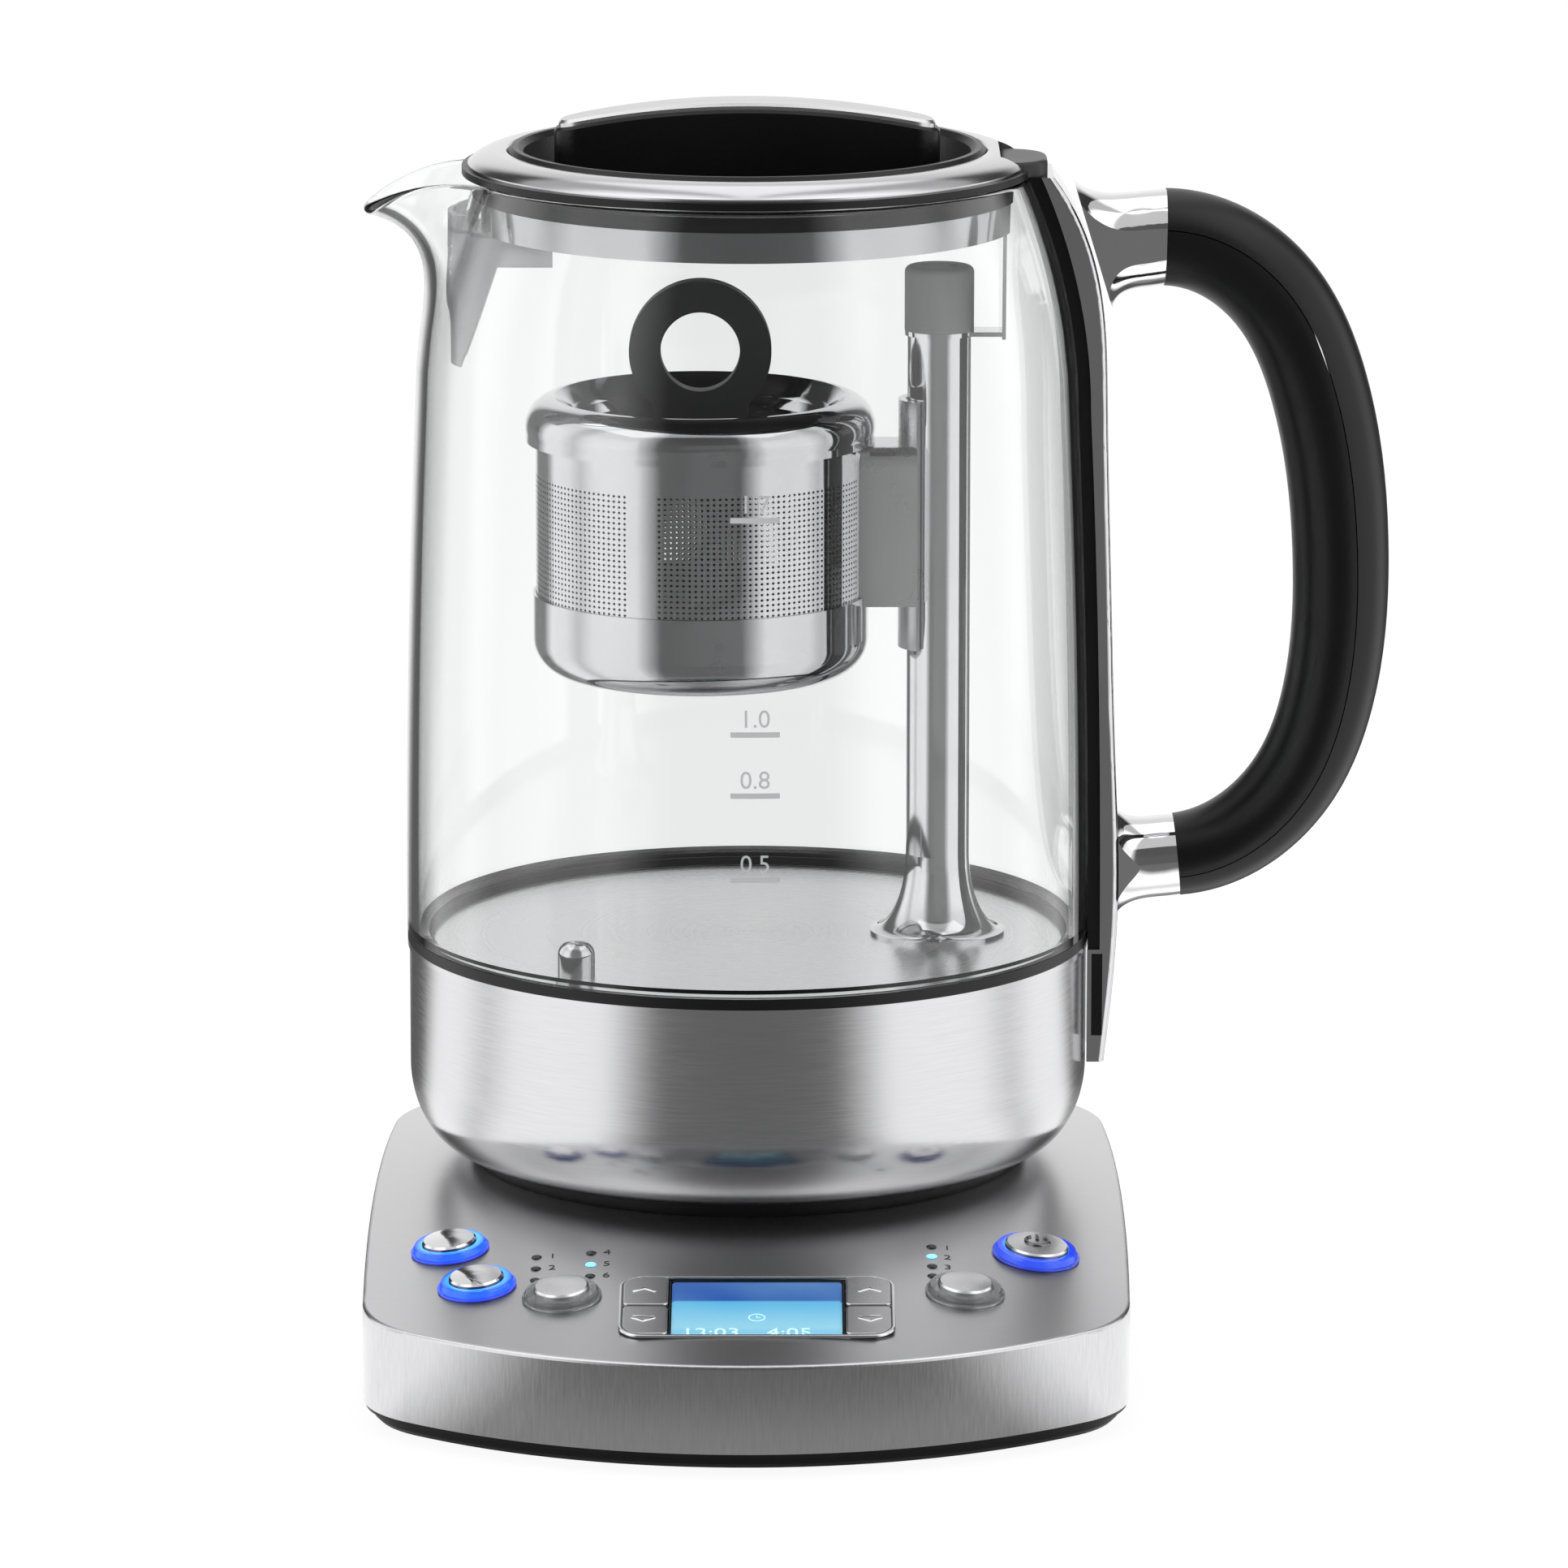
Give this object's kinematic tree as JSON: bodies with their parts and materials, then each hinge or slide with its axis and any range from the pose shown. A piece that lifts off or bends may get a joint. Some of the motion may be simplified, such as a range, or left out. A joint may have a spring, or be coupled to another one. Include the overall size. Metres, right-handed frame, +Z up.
{
  "type": "automatic tea maker",
  "caption": "Electric tea maker: spouted glass jug with a side handle on a power base, lift-off lid, and a covered infuser basket that rides up and down a post.",
  "frame": {"origin": "on the table under the jug's axis", "axes": "+Z up along the jug's axis, +X towards the handle, -X towards the spout, -Y towards the controls"},
  "size_m": [0.2249, 0.225, 0.2714],
  "materials": {
    "brushed_steel": "vertical brushed stainless steel",
    "plate_steel": "lengthwise brushed stainless steel",
    "bright_steel": "smooth stainless steel",
    "chrome": "polished chrome",
    "black_plastic": "fine matte black",
    "grip_black": "satin black",
    "clear_glass": "clear borosilicate glass",
    "clear_plastic": "clear plastic light ring",
    "light_pipe": "clear light pipe",
    "screen": "backlit liquid crystal",
    "screen_window": "clear window",
    "silver_plastic": "silver painted plastic",
    "smoke_plastic": "smoky clear plastic",
    "grey_silicone": "grey silicone",
    "black_rubber": "black rubber",
    "brass": "bare brass contact",
    "aluminium": "bare aluminium",
    "board": "printed circuit board",
    "magnet": "nickelled magnet",
    "screw_steel": "plain steel"
  },
  "bodies": {
    "base": {"base_tray": "black_plastic", "base_feet": "black_rubber", "tray_screws": "screw_steel", "base_cover": "brushed_steel", "base_seat": "black_plastic", "base_connector": "black_plastic", "contact_pins": "brass", "cord_inlet": "black_plastic", "light_rings": "clear_plastic", "control_board": "board", "board_switches": "black_plastic", "indicator_lights": "light_pipe", "display_frame": "black_plastic", "display_window": "screen_window", "display_panel": "screen"},
    "jug": {"jug_bottom": "black_plastic", "jug_connector": "black_plastic", "jug_cup": "brushed_steel", "jug_collar": "black_plastic", "jug_gasket": "black_rubber", "jug_glass": "clear_glass", "heater_plate": "bright_steel", "heater_element": "aluminium", "temperature_probe": "bright_steel", "handle_spine": "chrome", "spine_strip": "black_plastic", "handle_top_cap": "black_plastic", "grip_outer": "grip_black", "grip_inner": "grip_black", "upper_ferrule": "chrome", "lower_ferrule": "chrome", "pole_tube": "bright_steel", "pole_cap": "grey_silicone", "pole_hanger": "bright_steel", "lift_motor": "screw_steel"},
    "screw": {"lead_screw": "screw_steel"},
    "carriage": {"magnet_carriage": "magnet"},
    "basket": {"basket_wall": "bright_steel", "basket_cup": "bright_steel", "basket_bracket": "bright_steel", "basket_shoe": "bright_steel"},
    "basket_cover": {"basket_lid": "bright_steel", "ring_pull": "grey_silicone"},
    "lid": {"lid_dish": "black_plastic", "lid_ring": "chrome", "lid_skirt": "brushed_steel", "lid_seal": "black_rubber", "lid_grip": "black_plastic", "lid_grip_plate": "plate_steel", "spout_strainer": "smoke_plastic"},
    "auto_button": {"button_auto": "chrome"},
    "warm_button": {"button_warm": "chrome"},
    "tea_button": {"button_tea": "chrome"},
    "custom_button": {"button_custom": "chrome"},
    "power_button": {"button_power": "chrome"},
    "left_up_key": {"key_left_up": "silver_plastic"},
    "left_down_key": {"key_left_down": "silver_plastic"},
    "right_up_key": {"key_right_up": "silver_plastic"},
    "right_down_key": {"key_right_down": "silver_plastic"}
  },
  "joints": [
    {"name": "jug_lift", "type": "slide", "parent": "base", "child": "jug", "axis": [0, 0, 1], "range_m": [0, 0.08]},
    {"name": "lid_lift", "type": "slide", "parent": "jug", "child": "lid", "axis": [0, 0, 1], "range_m": [0, 0.06]},
    {"name": "basket_slide", "type": "slide", "parent": "jug", "child": "basket", "axis": [0, 0, -1], "range_m": [0, 0.048]},
    {"name": "carriage_slide", "type": "slide", "parent": "jug", "child": "carriage", "axis": [0, 0, -1], "range_m": [0, 0.048]},
    {"name": "screw_spin", "type": "hinge", "parent": "jug", "child": "screw", "pos_m": [0.042, 0, 0.15], "axis": [0, 0, 1], "range_deg": [0, 2200]},
    {"name": "basket_cover_lift", "type": "slide", "parent": "basket", "child": "basket_cover", "axis": [0, 0, 1], "range_m": [0, 0.01]},
    {"name": "auto_press", "type": "slide", "parent": "base", "child": "auto_button", "axis": [0.1071, 0.1161, -0.9874], "range_m": [0, 0.001], "stiffness_N_per_m": 400, "springref_m": -0.001},
    {"name": "warm_press", "type": "slide", "parent": "base", "child": "warm_button", "axis": [0.0841, 0.1338, -0.9874], "range_m": [0, 0.001], "stiffness_N_per_m": 400, "springref_m": -0.001},
    {"name": "tea_press", "type": "slide", "parent": "base", "child": "tea_button", "axis": [0.0575, 0.1471, -0.9874], "range_m": [0, 0.001], "stiffness_N_per_m": 400, "springref_m": -0.001},
    {"name": "custom_press", "type": "slide", "parent": "base", "child": "custom_button", "axis": [-0.0684, 0.1424, -0.9874], "range_m": [0, 0.001], "stiffness_N_per_m": 400, "springref_m": -0.001},
    {"name": "power_press", "type": "slide", "parent": "base", "child": "power_button", "axis": [-0.1028, 0.12, -0.9874], "range_m": [0, 0.001], "stiffness_N_per_m": 400, "springref_m": -0.001},
    {"name": "left_up_press", "type": "slide", "parent": "base", "child": "left_up_key", "axis": [0, 0.158, -0.9874], "range_m": [0, 0.0008], "stiffness_N_per_m": 400, "springref_m": -0.001},
    {"name": "left_down_press", "type": "slide", "parent": "base", "child": "left_down_key", "axis": [0, 0.158, -0.9874], "range_m": [0, 0.0008], "stiffness_N_per_m": 400, "springref_m": -0.001},
    {"name": "right_up_press", "type": "slide", "parent": "base", "child": "right_up_key", "axis": [0, 0.158, -0.9874], "range_m": [0, 0.0008], "stiffness_N_per_m": 400, "springref_m": -0.001},
    {"name": "right_down_press", "type": "slide", "parent": "base", "child": "right_down_key", "axis": [0, 0.158, -0.9874], "range_m": [0, 0.0008], "stiffness_N_per_m": 400, "springref_m": -0.001}
  ],
  "couplings": [
    {"joint": "carriage_slide", "follows": "basket_slide", "ratio": 1},
    {"joint": "screw_spin", "follows": "basket_slide", "rad_per_m": 785.4}
  ]
}
